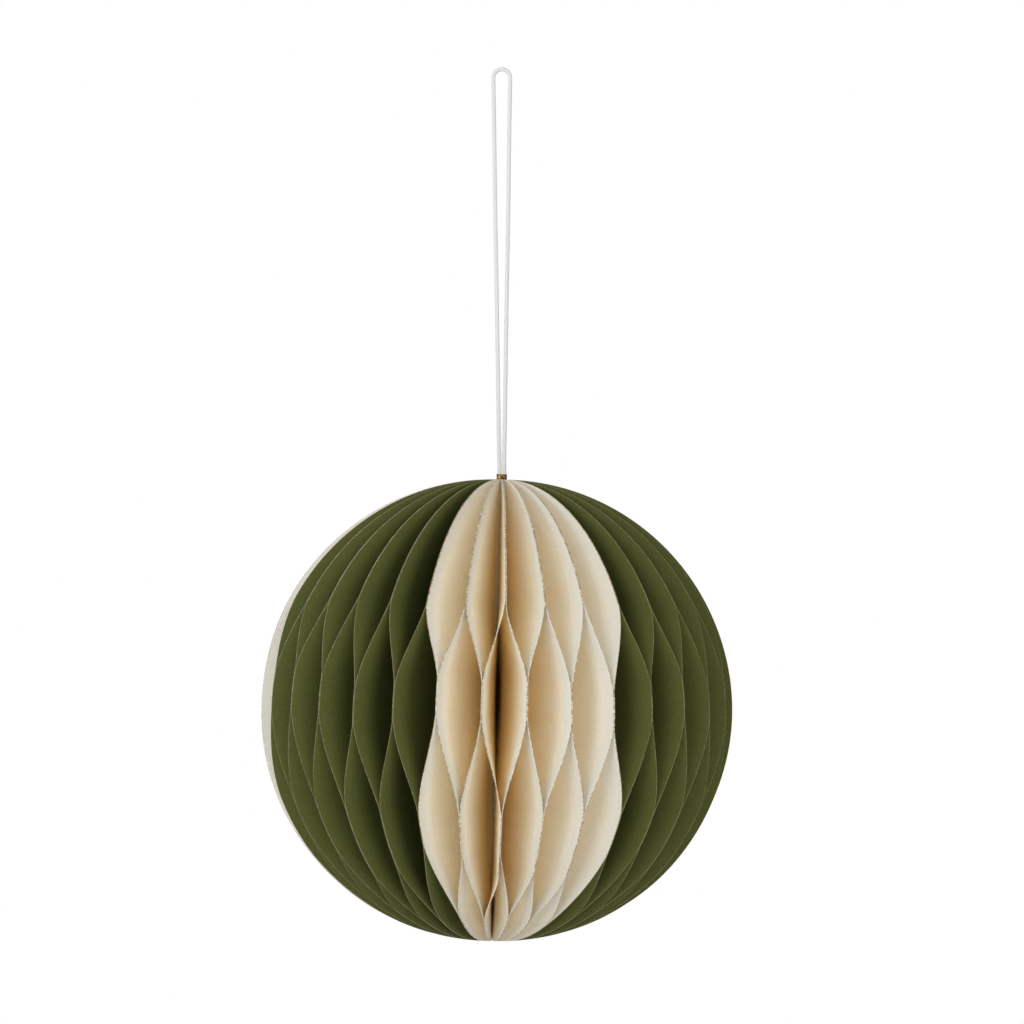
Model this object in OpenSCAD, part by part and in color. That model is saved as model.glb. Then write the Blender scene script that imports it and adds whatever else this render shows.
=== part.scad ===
// Honeycomb paper ball on a hanging loop.
// Half disc leaves stand round a core. Each sheet is one disc folded at the core into two leaves.
// A leaf is glued to the next sheet on its outer side and to its own other leaf on its inner side,
// in bands at alternate heights, so that the spread leaves bend into open cells.
// The frame's origin is inside the top of the loop, where it hangs, and +Z is up.

/* [Ball] */
// Height of the ball from pole to pole
ball_h = 93; // [75:0.5:105]
// How far the middle of each half disc stands out from the ball's axis
disc_shift = 1.1; // [0.8:0.1:1.4]
// Lean of the ball on its loop, with its foot towards -X
lean = 1.3; // [0:0.1:2]

/* [Sheets] */
// Folded sheets side by side in one sector of one colour
sector_sheets = 5; // [4:1:6]
// Cream sectors round the ball, with as many green ones between them
colour_repeats = 3; // [2:1:4]
// Direction of the first join between two cream sheets, in degrees right of the front
first_join = 2.3; // [0:0.1:5]
// How much closer the leaves crowd at the front than at the back, in degrees
crowding = 7.4; // [0:0.2:8]
// Thickness of the paper
paper_t = 0.14; // [0.1:0.01:0.18]
// Film of glue between two leaves
glue_t = 0.03; // [0.02:0.01:0.05]
// Depth of the pressed fold along the core
fold_depth = 0.5; // [0.3:0.1:0.8]
// Width of the blunt tip of a leaf beyond its fold
tip_w = 0.4; // [0.2:0.1:0.6]

/* [Glue bands] */
// Height of the uppermost band above the ball's middle
upper_band_z = 26.1; // [22:0.1:30]
// Distance between bands on the same side of a leaf
band_spacing = 47.5; // [42:0.5:52]
// How far the bands inside a sheet sit above half way
own_band_lift = 1.2; // [0:0.1:2]
// Height of a band
band_h = 7.5; // [5:0.5:9]
// Most that the ends of a band stray from their height
stray = 1.2; // [0:0.1:1.4]
// How much further down the lower bands between sheets run on
foot_run = 2.8; // [0:0.1:3]
// Most that the foot of those lower bands strays
foot_stray = 3.6; // [0:0.1:4]
// How straight a leaf crosses from band to band: 1 is a straight line, 0 a soft curve
straightness = 0.55; // [0:0.05:1]

/* [Hanging loop] */
// Diameter of the cord
cord_d = 0.85; // [0.7:0.05:0.9]
// Wall of the collar round the two strands
collar_wall = 0.12; // [0.1:0.02:0.2]
// How far the collar shows above the ball's pole
collar_show = 1.1; // [0.8:0.1:2]
// How deep the collar's plug sits in the core
plug_depth = 2.5; // [1.5:0.1:4]
// Clearance of the plug in the core and of the cord in the collar
collar_fit = 0.03; // [0.02:0.01:0.05]

/* [Fineness] */
// Steps of a leaf's edge across an open cell
gap_steps = 6; // [4:1:7]
// Largest step of a leaf's edge along a glue band, in degrees of its disc
band_step = 8; // [6:0.5:12]

/* [Hidden] */
// Half of the loop and its tail in the core, from the top of the loop down, as X and Z
LOOP_HALF = [
    [0, 0.43], [0.65, 0.3], [1.2, -0.07], [1.57, -0.62], [1.7, -1.28], [1.7, -2.2], [1.65, -4.5],
    [1.5, -14], [1.35, -26], [1.18, -36], [1, -46], [0.85, -56], [0.72, -65], [0.6, -73],
    [0.48, -79], [0.48, -83]
];
// Ends of the left and the right tail in the core, which leans with the ball
TAIL_ENDS = [[-1, -106], [-0.04, -106]];
// Height of the ball's upper pole under the top of the loop
POLE_Z = -82.6;
// Distance from the middle of the collar to the middle of each strand in it
STRAND_X = 0.48;
// Sides of the cord, and its rings between two points of the route
CORD_SIDES = 8;
SPAN_RINGS = 2;
// Turn of the wave that the ends of the bands follow from one join to the next, and its start
STRAY_TURN = 88;
STRAY_START = 125;
// Share of the stray that the uppermost band has, the other way round
UPPER_STRAY = -0.6;

disc_r = ball_h / 2;
sheet_count = 2 * colour_repeats * sector_sheets;
leaf_pitch = 360 / sheet_count;
// The first cream sector is the one at the front, and this many of its sheets lie left of the first join
front_left = floor(sector_sheets / 2);

function place(k) = (k + front_left) % sheet_count;
function sector(k) = floor(place(k) / sector_sheets);
function is_cream(k) = sector(k) % 2 == 0;
function rank(k) = floor(sector(k) / 2) * sector_sheets + place(k) % sector_sheets + 1;
function two_digits(n) = str(n < 10 ? "0" : "", n);
function sheet_name(k) = str(is_cream(k) ? "cream" : "green", "_sheet_", two_digits(rank(k)));

// Direction of join k, which lies between sheet k - 1 and sheet k, in degrees right of the front
function even_angle(k) = first_join + k * leaf_pitch;
function join_angle(k) = even_angle(k) - crowding * sin(even_angle(k));
// Angle from a leaf's own plane to the glue on either side of it
function leaf_wedge(k) = (join_angle(k + 1) - join_angle(k)) / 4;
// Distance from the axis at which a sheet's leaves just fit side by side, where its fold lies
function fold_r(k) = (paper_t + glue_t) / 2 / tan(leaf_wedge(k));
core_r = min([for (k = [0:sheet_count - 1]) fold_r(k)]);

// Bands alternate: even ones join sheet to sheet, odd ones join a sheet's own two leaves
function band_z(n) = upper_band_z - n * band_spacing / 2 + (n % 2) * own_band_lift;
last_band = floor((upper_band_z + disc_r) / (band_spacing / 2));
function wave(i) = sin(STRAY_TURN * i + STRAY_START);
function strayed(i, n) = (n == 0 ? UPPER_STRAY : 1) * stray * wave(i);
function runs_on(n) = n > 0 && n % 2 == 0;
function band_foot(i, n) =
    band_z(n) - band_h / 2 + (runs_on(n) ? foot_stray * wave(i) - foot_run : strayed(i, n));
function band_head(i, n) = band_z(n) + band_h / 2 + (runs_on(n) ? 0 : strayed(i, n));

// Places along a disc's edge are angles from its upper tip, so that all steps lie on the round edge
function tip_angle(k) = asin((fold_r(k) + fold_depth + tip_w - disc_shift) / disc_r);
function edge_angle(z) = acos(z / disc_r);
function edge_r(a) = disc_shift + disc_r * sin(a);
function edge_z(a) = disc_r * cos(a);
function head_angle(i, n, tip) = n == 0 ? tip : edge_angle(band_head(i, n));
function foot_angle(i, n, tip) = n == last_band ? 180 - tip : edge_angle(band_foot(i, n));

// Side of a leaf that band n is on: 1 towards the next sheet, -1 towards the sheet's own other leaf
function band_side(n) = n % 2 == 0 ? 1 : -1;
function crossing(u) = straightness * u + (1 - straightness) * u * u * (3 - 2 * u);

// Steps down the edge of a leaf at join i in sheet k, each an angle along the disc and a side
function line_of(n, i, k) = n % 2 == 0 ? i : k;
function band_part(n, i, k, tip) =
    let (a = head_angle(line_of(n, i, k), n, tip), b = foot_angle(line_of(n, i, k), n, tip),
        steps = max(2, ceil((b - a) / band_step)))
    [for (j = [0:steps]) [a + (b - a) * j / steps, band_side(n)]];
function gap_part(n, i, k, tip) =
    let (a = foot_angle(line_of(n, i, k), n, tip), b = head_angle(line_of(n + 1, i, k), n + 1, tip))
    [for (j = [1:gap_steps - 1])
        [a + (b - a) * j / gap_steps, band_side(n) * (1 - 2 * crossing(j / gap_steps))]];
function leaf_steps(i, k, tip) =
    [for (n = [0:last_band]) each concat(
        band_part(n, i, k, tip),
        n < last_band ? gap_part(n, i, k, tip) : [])];

// Steps down a fold: its tips and the unstrayed ends of the bands, as heights and sides
function fold_steps(tip) =
    [for (n = [0:last_band]) each [
        [n == 0 ? edge_z(tip) : band_z(n) + band_h / 2, band_side(n)],
        [n == last_band ? -edge_z(tip) : band_z(n) - band_h / 2, band_side(n)]]];

// Row of the fold that a height belongs to, the nearest one
function fold_row(z, rows) =
    len([for (j = [0:len(rows) - 2]) if (z < (rows[j][0] + rows[j + 1][0]) / 2) j]);

// Point at a distance along a leaf's own plane and to the side of it.
// hand is 1 for the right leaf, whose next sheet is to its right, and -1 for the left one.
function at(r, side, z, angle, hand) =
    [r * sin(angle) + hand * side * cos(angle), hand * side * sin(angle) - r * cos(angle), z];

// Sideways place of the middle of the paper
function sway(k, r, s) = (r - fold_r(k)) * tan(leaf_wedge(k)) * s;

// Edge and fold of one face of a leaf, face 1 towards the next sheet and -1 towards its own other leaf
function edge_points(k, steps, angle, hand, face) =
    [for (p = steps)
        at(edge_r(p[0]), sway(k, edge_r(p[0]), p[1]) + face * paper_t / 2, edge_z(p[0]), angle, hand)];
function fold_points(k, rows, angle, hand, face) =
    let (r = fold_r(k) + (face < 0 ? fold_depth : 0))
    [for (p = rows) at(r, sway(k, r, p[1]) + face * paper_t / 2, p[0], angle, hand)];

// Triangles from a fold's points, which start at f, to an edge's points, which start at e
function fan(steps, rows, e, f) =
    [for (j = [0:len(steps) - 2])
        let (a = fold_row(edge_z(steps[j][0]), rows), b = fold_row(edge_z(steps[j + 1][0]), rows))
        each concat([[e + j, e + j + 1, f + a]], [for (m = [a:1:b - 1]) [f + m, e + j + 1, f + m + 1]])];
function strip(p, q, count) = [for (j = [0:count - 2]) [p + j, p + j + 1, q + j + 1, q + j]];
function column_start(columns, j) = j == 0 ? 0 : column_start(columns, j - 1) + len(columns[j - 1]);
function turned(faces) = [for (f = faces) [for (j = [len(f) - 1:-1:0]) f[j]]];

// One sheet: a disc folded in two, its left leaf at join k and its right leaf at join k + 1
module sheet(k) {
    tip = tip_angle(k);
    rows = fold_steps(tip);
    left = leaf_steps(k, k, tip);
    right = leaf_steps(k + 1, k, tip);
    left_angle = join_angle(k) + leaf_wedge(k);
    right_angle = join_angle(k + 1) - leaf_wedge(k);
    columns = [
        fold_points(k, rows, left_angle, -1, 1),
        edge_points(k, left, left_angle, -1, 1),
        edge_points(k, left, left_angle, -1, -1),
        fold_points(k, rows, left_angle, -1, -1),
        fold_points(k, rows, right_angle, 1, -1),
        edge_points(k, right, right_angle, 1, -1),
        edge_points(k, right, right_angle, 1, 1),
        fold_points(k, rows, right_angle, 1, 1)];
    head = [for (j = [0:7]) column_start(columns, j)];
    foot = [for (j = [0:7]) head[j] + len(columns[j]) - 1];
    faces = concat(
        fan(left, rows, head[1], head[0]),
        turned(fan(left, rows, head[2], head[3])),
        fan(right, rows, head[5], head[4]),
        turned(fan(right, rows, head[6], head[7])),
        turned(strip(head[1], head[2], len(left))),
        turned(strip(head[5], head[6], len(right))),
        strip(head[0], head[7], len(rows)),
        turned(strip(head[3], head[4], len(rows))),
        turned([head]),
        [foot]);
    points = [for (c = columns) each c];
    color(is_cream(k) ? "#d9cfbc" : "#4a5328") on_loop() polyhedron(points, faces, convexity = 10);
}

// Puts the ball, made about its own middle, under the loop with its lean
module on_loop() {
    translate([0, 0, POLE_Z]) rotate([0, lean, 0]) translate([0, 0, -disc_r]) children();
}

// Upright prism with round ends, as wide as the two strands side by side and a margin round them
module strand_slot(margin, z, h) {
    r = cord_d / 2 + margin;
    for (x = [-STRAND_X, STRAND_X]) translate([x, 0, z]) cylinder(r = r, h = h, $fn = 32);
    translate([-STRAND_X, -r, z]) cube([2 * STRAND_X, 2 * r, h]);
}

// Small metal collar that holds the two strands and plugs the upper mouth of the core
module crimp_collar() {
    plug_z = disc_r - plug_depth;
    color("#9a7a3e") on_loop() difference() {
        union() {
            strand_slot(collar_fit + collar_wall, disc_r, collar_show);
            translate([0, 0, plug_z]) cylinder(r = core_r - collar_fit, h = plug_depth, $fn = 48);
        }
        strand_slot(collar_fit, plug_z - 1, plug_depth + collar_show + 2);
    }
}

// Route of the cord from the end of its left tail over the loop to the end of its right tail
route = concat(
    [TAIL_ENDS[0]],
    [for (j = [len(LOOP_HALF) - 1:-1:1]) [-LOOP_HALF[j][0], LOOP_HALF[j][1]]],
    LOOP_HALF,
    [TAIL_ENDS[1]]);

// Smooth curve through the route's points
function knot(j) = route[max(0, min(len(route) - 1, j))];
function smooth(j, u) =
    let (a = knot(j - 1), b = knot(j), c = knot(j + 1), d = knot(j + 2))
    (2 * b + (c - a) * u + (2 * a - 5 * b + 4 * c - d) * u * u + (3 * b - a - 3 * c + d) * u * u * u) / 2;
line = concat(
    [for (j = [0:len(route) - 2], m = [0:SPAN_RINGS - 1]) smooth(j, m / SPAN_RINGS)],
    [route[len(route) - 1]]);
function heading(j) = line[min(len(line) - 1, j + 1)] - line[max(0, j - 1)];
function ring(j) =
    let (d = heading(j) / norm(heading(j)), r = cord_d / 2)
    [for (m = [0:CORD_SIDES - 1])
        let (a = 360 * (m + 0.5) / CORD_SIDES)
        [line[j][0] + r * cos(a) * d[1], r * sin(a), line[j][1] - r * cos(a) * d[0]]];

// The cord: one loop whose two tails run down into the core
module hanging_cord() {
    last = len(line) - 1;
    points = [for (j = [0:last]) each ring(j)];
    walls = [for (j = [0:last - 1], m = [0:CORD_SIDES - 1])
        let (n = (m + 1) % CORD_SIDES, a = j * CORD_SIDES, b = a + CORD_SIDES)
        [a + m, b + m, b + n, a + n]];
    start = [for (m = [0:CORD_SIDES - 1]) m];
    end = [for (m = [CORD_SIDES - 1:-1:0]) last * CORD_SIDES + m];
    color("#f2f1ee") polyhedron(points, concat(walls, [start, end]), convexity = 6);
}

for (k = [0:sheet_count - 1]) {
    sheet(k);
}
crimp_collar();
hanging_cord();
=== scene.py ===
"""Looks of a honeycomb paper ball that hangs on a cord loop, laid out as a Blender add-on."""
import math
import bmesh
import bpy
from mathutils import Matrix, Vector


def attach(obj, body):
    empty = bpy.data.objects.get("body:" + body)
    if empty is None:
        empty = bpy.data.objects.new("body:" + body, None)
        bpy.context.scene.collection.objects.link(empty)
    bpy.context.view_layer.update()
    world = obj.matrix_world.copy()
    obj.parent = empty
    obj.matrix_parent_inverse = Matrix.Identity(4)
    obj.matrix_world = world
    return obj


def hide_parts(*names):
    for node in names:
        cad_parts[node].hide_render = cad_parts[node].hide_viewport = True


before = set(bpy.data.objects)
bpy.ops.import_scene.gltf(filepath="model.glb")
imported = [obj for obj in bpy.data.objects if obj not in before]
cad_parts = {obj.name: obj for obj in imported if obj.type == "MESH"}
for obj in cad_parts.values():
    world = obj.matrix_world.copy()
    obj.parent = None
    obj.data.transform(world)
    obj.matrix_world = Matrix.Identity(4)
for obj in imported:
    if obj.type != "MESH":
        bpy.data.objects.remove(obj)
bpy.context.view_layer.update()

bl_info = {
    "name": "Honeycomb paper ball",
    "version": (1, 0, 0),
    "blender": (4, 5, 0),
    "location": "3D view > Sidebar > Paper ball",
    "description": "Dresses a honeycomb paper ball with folded sheets, glitter edges, a collar and a cord loop",
    "category": "Object",
}

MM = 0.001
# Half of the loop and its tail, from the top of the loop down, in the front plane
LOOP_HALF = [
    (0, 0.43), (0.65, 0.3), (1.2, -0.07), (1.57, -0.62), (1.7, -1.28), (1.7, -2.2), (1.65, -4.5),
    (1.5, -14), (1.35, -26), (1.18, -36), (1, -46), (0.85, -56), (0.72, -65), (0.6, -73),
    (0.48, -79), (0.48, -83),
]
TAIL_ENDS = [(-1, -106), (-0.04, -106)]
# The wave along the ring by which glue bands stray, and how the uppermost ones follow it
STRAY_TURN = math.radians(88)
STRAY_START = math.radians(125)
UPPER_STRAY = -0.6
SMALLEST_ROW = math.radians(0.25)
# How far a point of a leaf lies inside the leaf's cut edge, in millimetres
RIM_ATTRIBUTE = "edge_mm"
# Depths in the cells between which more and more light comes through the paper, in millimetres
GLOW_DEPTHS = (12, 30)
DEEP_GLOW = 0.25
GLITTER_WIDTH = 0.16
FLAKE_SCALE = 3600
LIGHT_SIZE = 0.8
FLOOR_RADIUS = 1.0
CURVE_STEPS = 4
# Name, place from the ball's middle and tint of each soft light
SOFT_LIGHTS = [
    ("key", (-0.58, -1.26, 0.30), (0.96, 0.99, 1.0)),
    ("side", (-1.23, -0.65, 0.30), (0.95, 0.98, 1.0)),
    ("fill", (0.53, -1.28, 0.30), (1.0, 0.965, 0.93)),
    ("back", (-0.86, 1.02, 0.5), (1.0, 0.99, 0.97)),
]
ROOM_TINT = (0.97, 0.99, 1.0)


def length(name, description, default, low=0.0, high=1.0):
    """A size in metres that the panel shows."""
    return bpy.props.FloatProperty(
        name=name, description=description, default=default, min=low, max=high,
        precision=5, subtype="DISTANCE", unit="LENGTH")


def angle(name, description, degrees):
    """An angle that the panel shows in degrees."""
    return bpy.props.FloatProperty(
        name=name, description=description, default=math.radians(degrees), subtype="ANGLE", unit="ROTATION")


def share(name, description, default):
    """A share from nothing to all."""
    return bpy.props.FloatProperty(
        name=name, description=description, default=default, min=0, max=1, subtype="FACTOR")


def colour(name, description, default):
    """A colour that the panel shows as a swatch."""
    return bpy.props.FloatVectorProperty(
        name=name, description=description, default=default, min=0, max=1, size=3, subtype="COLOR")


def power(name, description, default):
    """The strength of a light."""
    return bpy.props.FloatProperty(
        name=name, description=description, default=default, min=0, subtype="POWER", unit="POWER")


class PaperBallSizes(bpy.types.PropertyGroup):
    """Sizes of the ball, its sheets, glue bands and cord."""

    ball_height: length("Ball height", "Height of the ball from pole to pole", 93 * MM)
    pole_height: bpy.props.FloatProperty(
        name="Pole height", description="Height of the ball's upper pole, which is under the top of the loop",
        default=-82.6 * MM, precision=5, subtype="DISTANCE", unit="LENGTH")
    disc_shift: length("Disc shift", "How far the middle of each half disc stands out from the axis", 1.1 * MM)
    lean: angle("Lean", "Lean of the ball on its loop, with its foot to the left", 1.3)
    sector_sheets: bpy.props.IntProperty(
        name="Sheets a sector", description="Folded sheets side by side in one colour", default=5, min=1)
    colour_repeats: bpy.props.IntProperty(
        name="Colour repeats", description="Cream sectors, with as many green ones between them", default=3, min=1)
    first_join: angle("First join", "Direction of the first join between two cream sheets, right of the front", 2.3)
    crowding: angle("Crowding", "How much closer the leaves crowd at the front than at the back", 7.4)
    paper: length("Paper", "Thickness of the paper", 0.14 * MM)
    glue: length("Glue film", "Film of glue between two leaves", 0.03 * MM)
    tip_width: length("Tip width", "How far a leaf's blunt tip stands out from its fold", 0.9 * MM)
    upper_band: length("Upper band", "Height of the uppermost glue band above the ball's middle", 26.1 * MM)
    band_spacing: length("Band spacing", "Distance between bands on the same side of a leaf", 47.5 * MM)
    own_band_lift: length("Own band lift", "How far the bands inside a sheet sit above half way", 1.2 * MM)
    band_height: length("Band height", "Height of a glue band", 7.5 * MM)
    stray: length("Stray", "Most that the ends of a band stray from their height", 1.2 * MM)
    foot_run: length("Foot run", "How much further down the lower bands between sheets run on", 2.8 * MM)
    foot_stray: length("Foot stray", "Most that the foot of those lower bands strays", 3.6 * MM)
    straightness: share("Straightness", "How straight a leaf crosses from band to band", 0.55)
    row_step: angle("Row step", "Largest step of a leaf's rows along its edge", 1.7)
    leaf_columns: bpy.props.IntProperty(
        name="Leaf columns", description="Columns of faces from a leaf's fold to its edge", default=6, min=2)
    cord: length("Cord", "Diameter of the cord", 0.85 * MM)
    cord_length: length("Cord length", "Length of the cord from tail to tail", 216 * MM)
    cord_sides: bpy.props.IntProperty(name="Cord sides", description="Sides of the cord", default=16, min=6)
    collar_show: length("Collar height", "How far the collar shows above the pole", 1.1 * MM)


class PaperBallFinish(bpy.types.PropertyGroup):
    """Colours, grain and depth of the ball's finishes."""

    # Cream paper keeps its own cream at the edge and is painted lighter deeper in the cells: painted light where
    # the cells are in shade.
    cream: colour("Cream", "Cream paper at a leaf's edge", (0.74, 0.694, 0.60))
    cream_middle: colour("Middle cream", "Cream paper half way into the cells", (0.96, 0.907, 0.778))
    cream_deep: colour("Deep cream", "Cream paper deep in the cells", (1.0, 0.979, 0.872))
    cream_glow: colour("Cream glow", "Light that comes through the cream paper", (1.0, 0.93, 0.78))
    cream_thinness: share("Cream thinness", "Share of the light that the cream paper lets through", 0.04)
    cream_grain: share("Cream grain", "Strength of the fine grain in the cream paper", 0.42)
    # Green paper is painted lighter at the edge and darker deep in the cells: a painted highlight at the lit edge
    # and painted shade deep in.
    green: colour("Green", "Moss green paper at a leaf's edge", (0.101, 0.110, 0.028))
    green_middle: colour("Middle green", "Moss green paper half way into the cells", (0.079, 0.091, 0.0215))
    green_deep: colour("Deep green", "Moss green paper deep in the cells", (0.070, 0.081, 0.0185))
    green_glow: colour("Green glow", "Light that comes through the green paper", (0.34, 0.31, 0.09))
    green_thinness: share("Green thinness", "Share of the light that the green paper lets through", 0.14)
    green_grain: share("Green grain", "Strength of the fine grain in the green paper", 1.0)
    # Depths at which the painted light and shade in the paper tones change.
    middle_depth: length("Middle depth", "How deep in the cells the paper has its middle tone", 8 * MM)
    deep_depth: length("Deep depth", "How deep in the cells the paper has its deep tone", 26 * MM)
    # Bright glitter flakes are gold with painted glints; the flecks between them are painted shade, flakes turned
    # from the light.
    cream_glitter: colour("Cream glitter", "Glitter flakes on the edges of the cream sheets", (0.84, 0.72, 0.50))
    cream_flecks: colour("Cream flecks", "Brown flecks between them", (0.34, 0.24, 0.13))
    green_glitter: colour("Green glitter", "Glitter flakes on the edges of the green sheets", (0.25, 0.225, 0.10))
    green_flecks: colour("Green flecks", "Dark flecks between them", (0.105, 0.105, 0.033))
    cord: colour("Cord", "Smooth white cord", (0.72, 0.72, 0.71))
    glue: colour("Glue", "Dried brown glue on the cord's tails in the core", (0.10, 0.06, 0.03))
    glued_below: bpy.props.FloatProperty(
        name="Glued below", description="Height under which the cord's tails are glued in",
        default=-83.2 * MM, precision=5, subtype="DISTANCE", unit="LENGTH")
    collar: colour("Collar", "Gold brown collar", (0.17, 0.105, 0.045))
    floor: colour("Floor", "Plain pale floor", (0.86, 0.86, 0.85))


class PaperBallStage(bpy.types.PropertyGroup):
    """The camera and the soft studio light."""

    camera_place: bpy.props.FloatVectorProperty(
        name="Camera place", description="Where the camera stands, looking level along Y",
        default=(0.00209, -0.7271, -0.08917), size=3, precision=5, subtype="TRANSLATION", unit="LENGTH")
    lens: bpy.props.FloatProperty(
        name="Lens", description="Focal length on a sensor 36 mm wide", default=126.3, min=20, max=300,
        subtype="NONE", unit="CAMERA")
    floor_height: bpy.props.FloatProperty(
        name="Floor height", description="Height of the floor under the ball",
        default=-0.62, subtype="DISTANCE", unit="LENGTH")
    key: power("Key light", "Strength of the soft light at the front left", 6.25)
    side: power("Side light", "Strength of the soft light at the left", 3.4)
    fill: power("Fill light", "Strength of the soft light at the front right", 5.05)
    back: power("Back light", "Strength of the soft light behind the ball", 8)
    paper_bounces: bpy.props.IntProperty(
        name="Paper bounces", description="How often light is passed on from leaf to leaf", default=64, min=1)
    backdrop: share("Backdrop", "Brightness of the white surroundings behind the ball", 1.0)
    room: share("Room", "Brightness of the surroundings elsewhere", 0.55)


class Value:
    """An output of a shader node that takes part in Python sums."""

    def __init__(self, finish, socket):
        self.finish = finish
        self.socket = socket

    def sum(self, operation, *values):
        inputs = dict(enumerate(values))
        return self.finish.node("ShaderNodeMath", {"operation": operation}, inputs)["Value"]

    def __add__(self, other):
        return self.sum("ADD", self, other)

    __radd__ = __add__

    def __sub__(self, other):
        return self.sum("SUBTRACT", self, other)

    def __rsub__(self, other):
        return self.sum("SUBTRACT", other, self)

    def __mul__(self, other):
        return self.sum("MULTIPLY", self, other)

    __rmul__ = __mul__

    def __lt__(self, other):
        return self.sum("LESS_THAN", self, other)


class Outputs:
    """The outputs of one node by name."""

    def __init__(self, finish, node):
        self.finish = finish
        self.node = node

    def __getitem__(self, name):
        for socket in self.node.outputs:
            if socket.name == name and socket.enabled:
                return Value(self.finish, socket)
        raise KeyError(f"{self.node.bl_idname} has no output {name}")


class Finish:
    """Builds the node tree of a material or of the world."""

    def __init__(self, owner):
        owner.use_nodes = True
        self.tree = owner.node_tree
        self.tree.nodes.clear()

    def node(self, kind, settings=None, inputs=None):
        made = self.tree.nodes.new(kind)
        for name, value in (settings or {}).items():
            setattr(made, name, value)
        for name, value in (inputs or {}).items():
            socket = self.input_of(made, name)
            if isinstance(value, Value):
                self.tree.links.new(value.socket, socket)
            else:
                socket.default_value = value
        return Outputs(self, made)

    @staticmethod
    def input_of(node, name):
        if isinstance(name, int):
            return node.inputs[name]
        for socket in node.inputs:
            if socket.name == name and socket.enabled:
                return socket
        raise KeyError(f"{node.bl_idname} has no input {name}")

    def blend(self, factor, first, second):
        """Mixes two colours."""
        settings = {"data_type": "RGBA"}
        inputs = {"Factor": factor, "A": solid(first), "B": solid(second)}
        return self.node("ShaderNodeMix", settings, inputs)["Result"]

    def noise(self, place, scale, detail=2.0, roughness=0.5):
        inputs = {"Vector": place, "Scale": scale, "Detail": detail, "Roughness": roughness}
        return self.node("ShaderNodeTexNoise", None, inputs)["Fac"]

    def flakes(self, place, scale):
        """A random colour for each small flake."""
        settings = {"feature": "F1", "voronoi_dimensions": "3D"}
        return self.node("ShaderNodeTexVoronoi", settings, {"Vector": place, "Scale": scale})["Color"]

    def smooth(self, value, low, high):
        """Rises softly from 0 at low to 1 at high."""
        settings = {"interpolation_type": "SMOOTHSTEP"}
        inputs = {"Value": value, "From Min": low, "From Max": high}
        return self.node("ShaderNodeMapRange", settings, inputs)["Result"]

    def vector(self, operation, inputs):
        """A sum of vectors or colours."""
        return self.node("ShaderNodeVectorMath", {"operation": operation}, inputs)["Vector"]

    def bump(self, height, distance, strength):
        inputs = {"Height": height, "Distance": distance, "Strength": strength}
        return self.node("ShaderNodeBump", None, inputs)["Normal"]

    def surface(self, inputs):
        shader = self.node("ShaderNodeBsdfPrincipled", None, inputs)["BSDF"]
        self.node("ShaderNodeOutputMaterial", None, {"Surface": shader})

    def thin_surface(self, glow, thinness, inputs):
        """A surface that lets some light through."""
        front = self.node("ShaderNodeBsdfPrincipled", None, inputs)["BSDF"]
        through = self.node("ShaderNodeBsdfTranslucent", None, {"Color": solid(glow)})["BSDF"]
        mixed = self.node("ShaderNodeMixShader", None, {0: thinness, 1: front, 2: through})["Shader"]
        self.node("ShaderNodeOutputMaterial", None, {"Surface": mixed})


def solid(value):
    """A colour of three numbers as the four that a socket takes."""
    return value if isinstance(value, Value) else (*value[:3], 1.0)


def scaled(rgb, amount):
    """A lighter or darker shade of a colour."""
    return tuple(min(1.0, c * amount) for c in rgb)


def glitter_of(finish, place, gold_and_glint, painted_shade):
    """Colour, roughness and normal of fine gold glitter, whose bright flakes carry painted glints and whose dark
    flecks are painted shade.
    """
    random = finish.flakes(place, FLAKE_SCALE)
    parts = finish.node("ShaderNodeSeparateColor", None, {"Color": random})
    pick = parts["Red"]
    # Patches along the edge where the flakes turn to painted shade and where they turn to dimmer gold.
    light_dark_patches = finish.smooth(finish.noise(place, 55, 1), 0.42, 0.6)
    between = finish.blend(light_dark_patches, painted_shade, scaled(gold_and_glint, 0.62))
    # Bright flakes: gold with painted glints.
    tone = finish.blend(finish.smooth(pick, 0.4, 0.85), between, gold_and_glint)
    tilt = finish.vector("SUBTRACT", {0: random, 1: (0.5, 0.5, 0.5)})
    tilt = finish.vector("SCALE", {0: tilt, "Scale": 0.9})
    straight = finish.node("ShaderNodeNewGeometry")["Normal"]
    turned = finish.vector("NORMALIZE", {0: finish.vector("ADD", {0: straight, 1: tilt})})
    return tone, 0.4 + 0.3 * parts["Green"], turned


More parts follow.
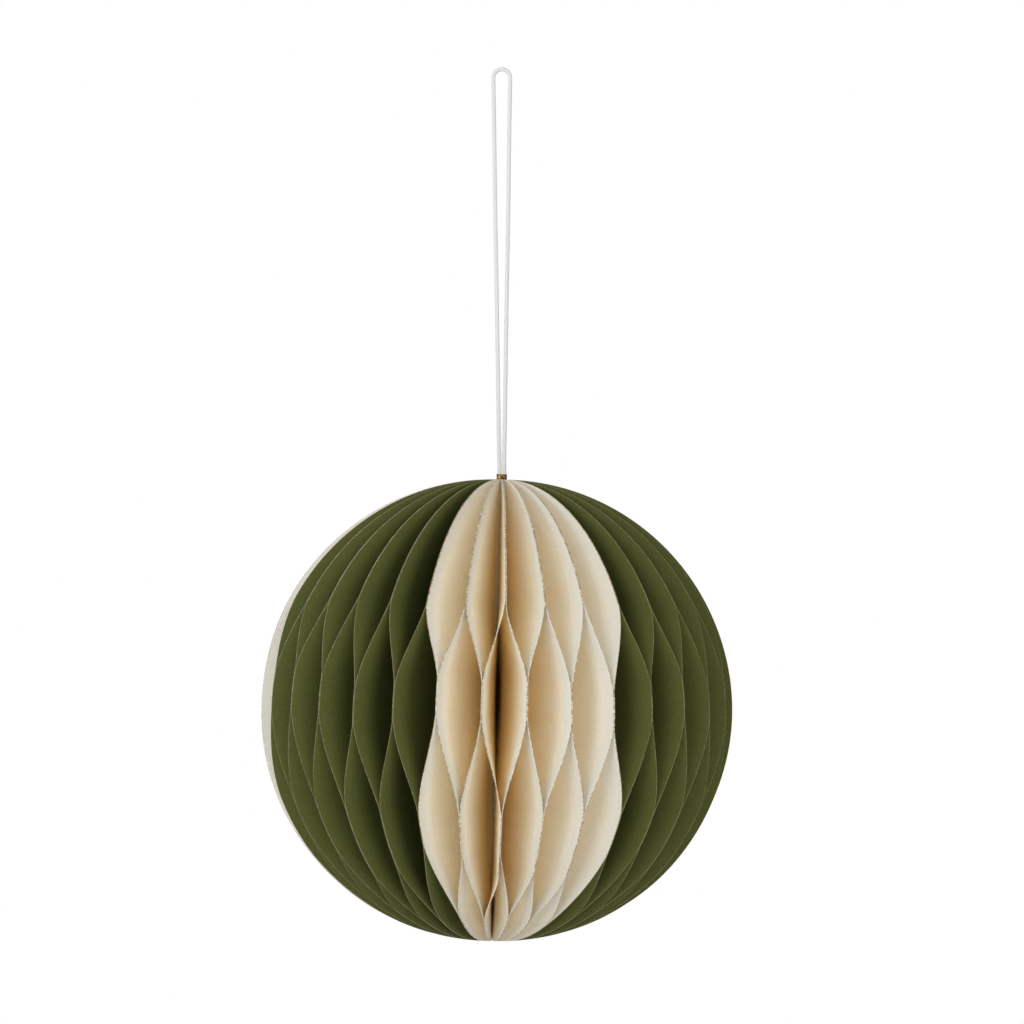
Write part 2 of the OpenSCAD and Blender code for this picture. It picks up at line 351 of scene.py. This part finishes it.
def paper_material(shade, looks):
    """Matt paper with a faint cloudy tone, fine fibres, painted light and shade by depth in the cells, and a line
    of glitter along its cut edge.
    """
    parts = ("", "_middle", "_deep", "_glow", "_thinness", "_grain", "_glitter", "_flecks")
    outer, middle, deep, glow, thinness, graininess, gold_and_glint, painted_shade = (
        getattr(looks, shade + part) for part in parts)
    material = bpy.data.materials.new(shade + "_leaf")
    finish = Finish(material)
    place = finish.node("ShaderNodeTexCoord")["Object"]
    edge = finish.node("ShaderNodeAttribute", {"attribute_name": RIM_ATTRIBUTE})["Fac"]
    cloud = finish.noise(place, 140, 3)
    fibres = finish.noise(place, 2600, 4, 0.65)
    # Painted light and shade by depth from the cut edge: cream is painted lighter deep in the cells, green lighter
    # at the edge and darker deep in.
    tone = finish.blend(finish.smooth(edge, 0.2, looks.middle_depth / MM), outer, middle)
    painted_light_and_shade_by_depth = finish.smooth(edge, looks.middle_depth / MM, looks.deep_depth / MM)
    tone = finish.blend(painted_light_and_shade_by_depth, tone, deep)
    tone = finish.blend(0.05 * cloud, tone, scaled(outer, 0.8))
    grain = finish.noise(place, 2400, 3, 0.75)
    tone = finish.vector("SCALE", {0: tone, "Scale": (1 - graininess / 2) + graininess * grain})
    gold = glitter_of(finish, place, gold_and_glint, painted_shade)[0]
    ragged = finish.noise(place, FLAKE_SCALE, 2)
    mask = edge < GLITTER_WIDTH * ragged - GLITTER_WIDTH / 4
    tone = finish.blend(mask, tone, gold)
    through = thinness + DEEP_GLOW * finish.smooth(edge, *GLOW_DEPTHS)
    finish.thin_surface(glow, through, {
        "Base Color": tone,
        "Roughness": 0.9 - 0.4 * mask,
        "Metallic": 0.1 * mask,
        "Specular IOR Level": 0.15,
        "Normal": finish.bump(fibres, 0.00004, 0.6),
    })
    return material


def glitter_material(shade, looks):
    """Fine gold glitter on the cut edges, with painted glints and painted shade in its flakes."""
    material = bpy.data.materials.new(shade + "_glitter")
    finish = Finish(material)
    place = finish.node("ShaderNodeTexCoord")["Object"]
    gold_and_glint, painted_shade = getattr(looks, shade + "_glitter"), getattr(looks, shade + "_flecks")
    tone, rough, turned = glitter_of(finish, place, gold_and_glint, painted_shade)
    finish.surface({"Base Color": tone, "Roughness": rough, "Metallic": 0.05, "Normal": turned})
    return material


def cord_material(looks):
    """Smooth white cord of three plies laid with a slow twist."""
    material = bpy.data.materials.new("white_cord")
    finish = Finish(material)
    lay = finish.node("ShaderNodeUVMap", {"uv_map": "lay"})["UV"]
    around = finish.node("ShaderNodeSeparateXYZ", None, {"Vector": lay})
    turn = (around["X"] * 3 + around["Y"] * 0.9) * (2 * math.pi)
    ply = turn.sum("SINE", turn) * 0.5 + 0.5
    place = finish.node("ShaderNodeTexCoord")["Object"]
    hair = finish.noise(place, 5200, 3)
    # The grooves between the plies are painted a shade darker: painted shade in the twist.
    tone = finish.blend(ply, scaled(looks.cord, 0.93), looks.cord)
    height = finish.node("ShaderNodeSeparateXYZ", None, {"Vector": place})["Z"]
    clean = finish.smooth(height, looks.glued_below - 0.4 * MM, looks.glued_below)
    tone = finish.blend(clean, looks.glue, tone)
    finish.surface({
        "Base Color": finish.blend(0.25 * hair, tone, scaled(looks.cord, 0.8)),
        "Roughness": 0.62,
        "Specular IOR Level": 0.4,
        "Normal": finish.bump(ply + 0.25 * hair, 0.00003, 0.8),
    })
    return material


def collar_material(looks):
    """Gold brown metal, a little worn, its colour in light and dark patches that are partly wear and partly painted
    highlights and shade.
    """
    material = bpy.data.materials.new("collar_brass")
    finish = Finish(material)
    place = finish.node("ShaderNodeTexCoord")["Object"]
    wear_and_sheen = finish.noise(place, 3000, 3)
    light_dark_patches = finish.smooth(wear_and_sheen, 0.42, 0.62)
    # Light and dark patches: partly wear, partly painted highlights and painted shade on the metal.
    finish.surface({
        "Base Color": finish.blend(light_dark_patches, scaled(looks.collar, 0.25), scaled(looks.collar, 2.2)),
        "Roughness": 0.28 + 0.25 * wear_and_sheen,
        "Metallic": 0.9,
        "Normal": finish.bump(wear_and_sheen, 0.00006, 0.8),
    })
    return material


def matt_material(name, rgb):
    """A plain matt surface with a faint cloud."""
    material = bpy.data.materials.new(name)
    finish = Finish(material)
    place = finish.node("ShaderNodeTexCoord")["Object"]
    cloud = finish.noise(place, 6, 2)
    tone = finish.blend(cloud, scaled(rgb, 0.985), scaled(rgb, 1.01))
    finish.surface({"Base Color": tone, "Roughness": 0.9})
    return material


class SheetPlan:
    """Where the folded sheets stand and how their leaves bend, in metres and radians."""

    def __init__(self, sizes):
        self.s = sizes
        self.radius = sizes.ball_height / 2
        self.count = 2 * sizes.colour_repeats * sizes.sector_sheets
        self.front_left = sizes.sector_sheets // 2
        self.last_band = int((sizes.upper_band + self.radius) // (sizes.band_spacing / 2))

    def place(self, k):
        """Place of sheet k, counted to the right from the left end of the front cream sector."""
        return (k + self.front_left) % self.count

    def sheet_name(self, k):
        """The sheet's colour and its number among the sheets of that colour."""
        sector = self.place(k) // self.s.sector_sheets
        rank = sector // 2 * self.s.sector_sheets + self.place(k) % self.s.sector_sheets + 1
        return ("green" if sector % 2 else "cream"), rank

    def join(self, k):
        """Direction of the join between sheet k - 1 and sheet k, right of the front."""
        even = self.s.first_join + k * 2 * math.pi / self.count
        return even - self.s.crowding * math.sin(even)

    def wedge(self, k):
        """Half of the angle that one leaf of sheet k has at the core."""
        return (self.join(k + 1) - self.join(k)) / 4

    def fold_r(self, k):
        """How far from the axis the two leaves of sheet k part."""
        return (self.s.paper + self.s.glue) / 2 / math.tan(self.wedge(k))

    def wave(self, i):
        """How much the bands on line i stray, from -1 to 1."""
        return math.sin(STRAY_TURN * i + STRAY_START)

    def band_middle(self, n):
        """Height of band n above the ball's middle: even ones join sheets, odd ones a sheet's own leaves."""
        return self.s.upper_band - n * self.s.band_spacing / 2 + (n % 2) * self.s.own_band_lift

    def band(self, i, n):
        """Head and foot of band n on line i."""
        stray = (UPPER_STRAY if n == 0 else 1) * self.s.stray * self.wave(i)
        head = foot = stray
        if n and n % 2 == 0:
            head = 0
            foot = self.s.foot_stray * self.wave(i) - self.s.foot_run
        middle = self.band_middle(n)
        return middle + self.s.band_height / 2 + head, middle - self.s.band_height / 2 + foot

    def stops(self, i, k, tip):
        """The ends of the bands down the leaf at join i of sheet k, as angles along its disc and sides."""
        found = []
        for n in range(self.last_band + 1):
            head, foot = self.band(i if n % 2 == 0 else k, n)
            side = 1 if n % 2 == 0 else -1
            found.append((tip if n == 0 else math.acos(head / self.radius), side))
            found.append((math.pi - tip if n == self.last_band else math.acos(foot / self.radius), side))
        return found

    def side(self, stops, a):
        """Side of the leaf at angle a: 1 at the next sheet, -1 at the sheet's own other leaf."""
        for (low, start), (high, end) in zip(stops, stops[1:]):
            if a <= high:
                u = max(0.0, (a - low) / (high - low))
                crossing = self.s.straightness * u + (1 - self.s.straightness) * u * u * (3 - 2 * u)
                return start + (end - start) * crossing
        return stops[-1][1]

    def rows(self, k):
        """Angles of the rows down the sheet, with one at each end of a band."""
        tip = math.asin((self.fold_r(k) + self.s.tip_width - self.s.disc_shift) / self.radius)
        left, right = self.stops(k, k, tip), self.stops(k + 1, k, tip)
        marks = [tip]
        for mark in sorted(a for a, _side in left + right):
            if mark - marks[-1] > SMALLEST_ROW:
                marks.append(mark)
        rows = [tip]
        for low, high in zip(marks, marks[1:]):
            steps = math.ceil((high - low) / self.s.row_step)
            rows += [low + (high - low) * j / steps for j in range(1, steps + 1)]
        return rows, left, right

    def point(self, k, hand, a, stops, t):
        """Middle of the paper at angle a, at share t of the way from fold to edge."""
        edge = self.s.disc_shift + self.radius * math.sin(a)
        start = self.fold_r(k) + self.s.paper / 2
        r = start + (edge - start) * t
        sway = (r - self.fold_r(k)) * math.tan(self.wedge(k)) * self.side(stops, a)
        turn = self.join(k) + self.wedge(k) if hand < 0 else self.join(k + 1) - self.wedge(k)
        x = r * math.sin(turn) + hand * sway * math.cos(turn)
        y = hand * sway * math.sin(turn) - r * math.cos(turn)
        return Vector((x, y, self.radius * math.cos(a))), (edge - r)

    def on_loop(self):
        """Puts the ball, made about its own middle, under the loop with its lean."""
        hung = Matrix.Translation((0, 0, self.s.pole_height)) @ Matrix.Rotation(self.s.lean, 4, "Y")
        return hung @ Matrix.Translation((0, 0, -self.radius))


def new_piece(name, bm, materials, smooth=True):
    """Makes an object at the origin out of a bmesh."""
    mesh = bpy.data.meshes.new(name)
    bm.to_mesh(mesh)
    bm.free()
    for material in materials:
        mesh.materials.append(material)
    if smooth:
        mesh.shade_smooth()
    piece = bpy.data.objects.new(name, mesh)
    bpy.context.scene.collection.objects.link(piece)
    return piece


def material_of(name, maker, *values):
    """One material a finish, shared by all its pieces."""
    return bpy.data.materials.get(name) or maker(*values)


class PAPERBALL_OT_sheets(bpy.types.Operator):
    """Folds the cream and green sheets and bends their leaves from glue band to glue band"""

    bl_idname = "paperball.sheets"
    bl_label = "Fold the sheets"

    def execute(self, context):
        sizes, looks = context.scene.paper_ball_sizes, context.scene.paper_ball_finish
        plan = SheetPlan(sizes)
        finishes = {
            shade: (
                material_of(shade + "_leaf", paper_material, shade, looks),
                material_of(shade + "_glitter", glitter_material, shade, looks))
            for shade in ("cream", "green")}
        for k in range(plan.count):
            shade, rank = plan.sheet_name(k)
            self.fold(plan, k, shade, rank, finishes[shade])
        return {"FINISHED"}

    def fold(self, plan, k, shade, rank, materials):
        """Bends a flat grid into sheet k: one leaf, the fold and the other leaf."""
        rows, left, right = plan.rows(k)
        columns = plan.s.leaf_columns
        across = 2 * columns + 1
        down = len(rows) - 1
        bm = bmesh.new()
        bmesh.ops.create_grid(bm, x_segments=across, y_segments=down, size=0.5)
        rim = bm.verts.layers.float.new(RIM_ATTRIBUTE)
        for vert in bm.verts:
            i = round((vert.co.x + 0.5) * across)
            a = rows[round((0.5 - vert.co.y) * down)]
            hand = -1 if i <= columns else 1
            t = (columns - i) / columns if hand < 0 else (i - columns - 1) / columns
            vert.co, edge = plan.point(k, hand, a, left if hand < 0 else right, t)
            vert[rim] = edge / MM
        bmesh.ops.transform(bm, matrix=plan.on_loop(), verts=bm.verts)
        piece = new_piece(f"{shade}_{rank:02d}_folded", bm, materials)
        thickness = piece.modifiers.new("paper", "SOLIDIFY")
        thickness.thickness = plan.s.paper
        thickness.offset = 0
        thickness.use_even_offset = True
        thickness.material_offset_rim = 1
        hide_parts(f"{shade}_sheet_{rank:02d}")
        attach(piece, "root")


class PAPERBALL_OT_cord(bpy.types.Operator):
    """Hangs the white cord loop, whose two tails run down into the core"""

    bl_idname = "paperball.cord"
    bl_label = "Hang the cord"

    def execute(self, context):
        sizes, looks = context.scene.paper_ball_sizes, context.scene.paper_ball_finish
        route = [TAIL_ENDS[0]] + [(-x, z) for x, z in LOOP_HALF[:0:-1]] + LOOP_HALF + [TAIL_ENDS[1]]
        line = self.smooth_line([Vector((x * MM, 0, z * MM)) for x, z in route])
        bm = bmesh.new()
        sides = sizes.cord_sides
        start = self.turned(line, 0)
        ring = bmesh.ops.create_circle(
            bm, cap_ends=True, radius=sizes.cord / 2, segments=sides, matrix=start)["verts"]
        edges = list(bm.edges)
        lay = bm.loops.layers.uv.new("lay")
        number = {v: (0, i) for i, v in enumerate(ring)}
        walls = []
        for j in range(1, len(line)):
            made = bmesh.ops.extrude_edge_only(bm, edges=edges)["geom"]
            step = self.turned(line, j) @ self.turned(line, j - 1).inverted()
            verts = [g for g in made if isinstance(g, bmesh.types.BMVert)]
            edges = [g for g in made if isinstance(g, bmesh.types.BMEdge) and len(g.link_faces) == 1]
            old = {v.co.copy().freeze(): n for v, n in number.items() if n[0] == j - 1}
            for v in verts:
                number[v] = (j, old[v.co.copy().freeze()][1])
            bmesh.ops.transform(bm, matrix=step, verts=verts)
            walls += [g for g in made if isinstance(g, bmesh.types.BMFace)]
        bmesh.ops.contextual_create(bm, geom=edges)
        bmesh.ops.recalc_face_normals(bm, faces=bm.faces)
        spans = [0.0]
        for a, b in zip(line, line[1:]):
            spans.append(spans[-1] + (b - a).length)
        for face in walls:
            turns = [number[v][1] for v in face.verts]
            wraps = 0 in turns and sides - 1 in turns
            for loop in face.loops:
                j, i = number[loop.vert]
                around = (i or sides) if wraps else i
                loop[lay].uv = (around / sides, spans[j] / (math.pi * sizes.cord))
        piece = new_piece("cord_loop", bm, [material_of("white_cord", cord_material, looks)])
        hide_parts("hanging_cord")
        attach(piece, "root")
        return {"FINISHED"}

    @staticmethod
    def smooth_line(points):
        """A smooth curve through the points."""
        line = []
        last = len(points) - 1
        for j in range(last):
            a, b, c, d = (points[max(0, min(last, j + m))] for m in (-1, 0, 1, 2))
            for m in range(CURVE_STEPS):
                u = m / CURVE_STEPS
                line.append((2 * b + (c - a) * u + (2 * a - 5 * b + 4 * c - d) * u * u
                             + (3 * b - a - 3 * c + d) * u * u * u) / 2)
        return line + [points[last]]

    @staticmethod
    def turned(line, j):
        """Stands a flat ring across the line at its point j."""
        heading = (line[min(len(line) - 1, j + 1)] - line[max(0, j - 1)]).normalized()
        side = Vector((0, 1, 0))
        across = side.cross(heading)
        return Matrix.Translation(line[j]) @ Matrix((across, side, heading)).transposed().to_4x4()


class PAPERBALL_OT_collar(bpy.types.Operator):
    """Finishes the small metal collar that holds the two strands"""

    bl_idname = "paperball.collar"
    bl_label = "Finish the collar"

    def execute(self, context):
        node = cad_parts["crimp_collar"]
        brass = material_of("collar_brass", collar_material, context.scene.paper_ball_finish)
        node.data.materials.clear()
        node.data.materials.append(brass)
        return {"FINISHED"}


class PAPERBALL_OT_stage(bpy.types.Operator):
    """Sets up the camera, the pale floor and the soft studio light"""

    bl_idname = "paperball.stage"
    bl_label = "Set the stage"

    def execute(self, context):
        stage, looks = context.scene.paper_ball_stage, context.scene.paper_ball_finish
        sizes = context.scene.paper_ball_sizes
        self.camera(context, stage)
        self.floor(stage, looks)
        self.surroundings(context, stage)
        middle = Vector((0, 0, sizes.pole_height - sizes.ball_height / 2))
        for name, place, tint in SOFT_LIGHTS:
            self.soft_light(name + "_light", Vector(place), middle, getattr(stage, name), tint)
        context.scene.view_settings.view_transform = "Standard"
        # Pale paper passes light on many times deep in its cells
        context.scene.cycles.diffuse_bounces = stage.paper_bounces
        context.scene.cycles.max_bounces = 2 * stage.paper_bounces
        return {"FINISHED"}

    @staticmethod
    def camera(context, stage):
        data = bpy.data.cameras.new("photo_camera")
        data.sensor_width = 36
        data.lens = stage.lens
        data.clip_start = 0.01
        camera = bpy.data.objects.new("photo_camera", data)
        camera.location = stage.camera_place
        camera.rotation_euler = (math.radians(90), 0, 0)
        context.scene.collection.objects.link(camera)
        context.scene.camera = camera

    @staticmethod
    def floor(stage, looks):
        bm = bmesh.new()
        bmesh.ops.create_circle(
            bm, cap_ends=True, radius=FLOOR_RADIUS, segments=96,
            matrix=Matrix.Translation((0, 0, stage.floor_height)))
        new_piece("floor", bm, [matt_material("floor", looks.floor)], smooth=False)

    @staticmethod
    def surroundings(context, stage):
        """White behind the ball as the camera sees it, and a softer room elsewhere."""
        world = bpy.data.worlds.new("studio")
        context.scene.world = world
        finish = Finish(world)
        ahead = finish.node("ShaderNodeTexCoord")["Generated"]
        depth = finish.node("ShaderNodeSeparateXYZ", None, {"Vector": ahead})["Y"]
        light = finish.smooth(depth, 0.9, 0.975)
        tone = finish.blend(light, scaled(ROOM_TINT, stage.room), (stage.backdrop,) * 3)
        glow = finish.node("ShaderNodeBackground", None, {"Color": tone, "Strength": 1.0})["Background"]
        finish.node("ShaderNodeOutputWorld", None, {"Surface": glow})

    @staticmethod
    def soft_light(name, place, target, strength, tint):
        """A round soft light that looks at the target, from a place measured from there."""
        data = bpy.data.lights.new(name, "AREA")
        data.shape = "DISK"
        data.size = LIGHT_SIZE
        data.energy = strength
        data.color = tint
        light = bpy.data.objects.new(name, data)
        light.location = target + place
        light.rotation_euler = (-place).to_track_quat("-Z", "Y").to_euler()
        bpy.context.scene.collection.objects.link(light)


class PAPERBALL_PT_panel(bpy.types.Panel):
    """Lists the sizes, finishes and steps"""

    bl_idname = "PAPERBALL_PT_panel"
    bl_label = "Honeycomb paper ball"
    bl_space_type = "VIEW_3D"
    bl_region_type = "UI"
    bl_category = "Paper ball"

    def draw(self, context):
        for step in STEPS:
            self.layout.operator(step.bl_idname)
        for group_name, kind in GROUPS.items():
            box = self.layout.box()
            for name in kind.__annotations__:
                box.prop(getattr(context.scene, group_name), name)


STEPS = (PAPERBALL_OT_stage, PAPERBALL_OT_cord, PAPERBALL_OT_sheets, PAPERBALL_OT_collar)
GROUPS = {
    "paper_ball_sizes": PaperBallSizes,
    "paper_ball_finish": PaperBallFinish,
    "paper_ball_stage": PaperBallStage,
}


def register():
    for kind in (*GROUPS.values(), *STEPS, PAPERBALL_PT_panel):
        bpy.utils.register_class(kind)
    for name, group in GROUPS.items():
        setattr(bpy.types.Scene, name, bpy.props.PointerProperty(type=group))


def unregister():
    for name in GROUPS:
        delattr(bpy.types.Scene, name)
    for kind in reversed((*GROUPS.values(), *STEPS, PAPERBALL_PT_panel)):
        bpy.utils.unregister_class(kind)


def main():
    register()
    bpy.ops.paperball.stage()
    bpy.ops.paperball.cord()
    bpy.ops.paperball.sheets()
    bpy.ops.paperball.collar()


if __name__ == "__main__":
    main()
